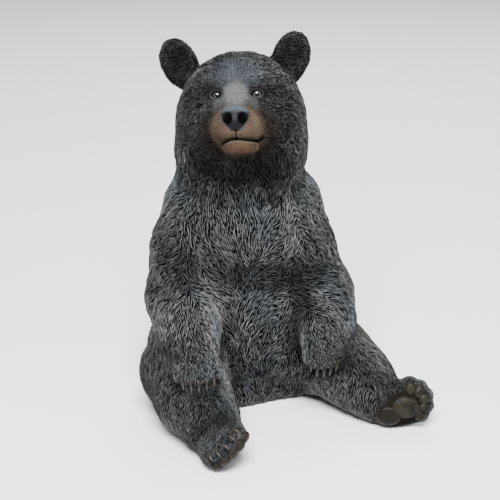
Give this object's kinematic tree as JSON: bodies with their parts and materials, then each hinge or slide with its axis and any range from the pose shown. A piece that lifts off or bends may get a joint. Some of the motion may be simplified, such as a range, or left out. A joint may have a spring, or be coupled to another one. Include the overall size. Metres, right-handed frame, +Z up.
{
  "type": "sitting bear figurine",
  "caption": "Sitting black bear figurine cast in resin, head raised, fore paws resting on the thighs, hind legs splayed, coat carved in locks; stands on its flat underside.",
  "frame": {"origin": "middle of the bear's box on the surface it stands on", "axes": "+Z up, the bear's chest faces -Y and its left side is towards +X"},
  "size_m": [0.2808, 0.296, 0.3743],
  "materials": {
    "painted_fur": "near-black paint, ridges dry-brushed grey, satin matt",
    "muzzle": "tan and reddish brown paint brushed over black, matt",
    "nose": "slate grey paint, satin",
    "eyes": "pale iris and black pupil under clear varnish",
    "pads": "dark olive brown paint, satin",
    "claws": "brown grey horn colour with tan tips, satin"
  },
  "bodies": {
    "root": {"bear": "painted_fur"}
  },
  "joints": []
}
